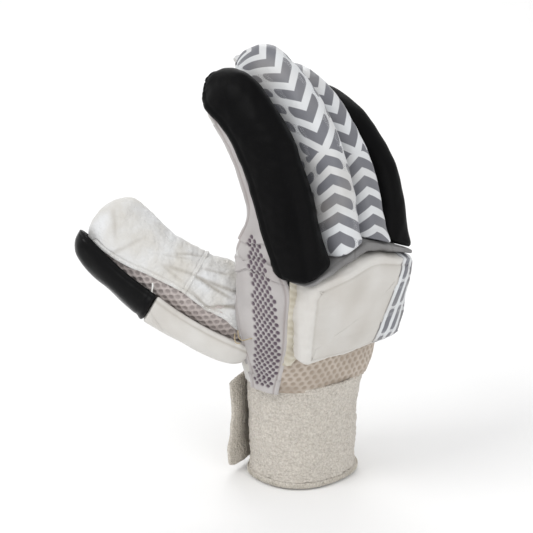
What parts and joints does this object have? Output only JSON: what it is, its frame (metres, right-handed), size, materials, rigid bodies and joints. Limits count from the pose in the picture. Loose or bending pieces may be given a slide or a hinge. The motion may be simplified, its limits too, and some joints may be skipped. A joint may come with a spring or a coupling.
{
  "type": "cricket batting glove",
  "caption": "right-hand cricket batting glove: padded finger rolls, padded guard panel on the back, leather palm and thumb, mesh sides, towelling cuff with a closing strap",
  "frame": {"origin": "centre of the wrist opening, in the plane of the cuff's lower rim", "axes": "+Z from the wrist towards the fingertips, +X out of the back of the hand, -Y towards the index finger and thumb"},
  "size_m": [0.1591, 0.1548, 0.2653],
  "materials": {
    "towelling": "cream terry towelling, knitted loops",
    "strap_towelling": "felted towelling strap",
    "sheepskin": "soft white tanned sheepskin, light grain and wrinkles",
    "perforated_knit": "pale perforated knit",
    "thumb_hex_mesh": "open hexagonal mesh",
    "air_mesh": "tan spacer mesh",
    "cream_gather": "cream gathered lining cloth",
    "black_pu": "black coated split leather, satin",
    "white_pu": "white coated leather, satin",
    "printed_pu": "white coated leather printed with grey slanted bars",
    "grey_pu": "grey coated leather"
  },
  "bodies": {
    "root": {"cuff_band": "towelling", "cuff_hem": "towelling", "closure_strap": "strap_towelling", "palm_leather": "sheepskin", "thumb_root_leather": "sheepskin", "thumb_tip_leather": "sheepskin", "thumb_mesh": "thumb_hex_mesh", "thumb_base_pad": "white_pu", "thumb_tip_pad": "black_pu", "index_side_mesh": "perforated_knit", "little_side_mesh": "perforated_knit", "panel_gather": "cream_gather", "back_air_mesh": "air_mesh", "back_panel": "white_pu", "back_panel_print": "printed_pu", "knuckle_bar": "grey_pu", "index_roll": "black_pu", "middle_roll": "printed_pu", "ring_roll": "printed_pu", "little_roll": "black_pu", "index_stall_back": "perforated_knit", "index_stall_front": "sheepskin", "middle_stall_back": "perforated_knit", "middle_stall_front": "sheepskin", "ring_stall_back": "perforated_knit", "ring_stall_front": "sheepskin", "little_stall_back": "perforated_knit", "little_stall_front": "sheepskin"}
  },
  "joints": []
}
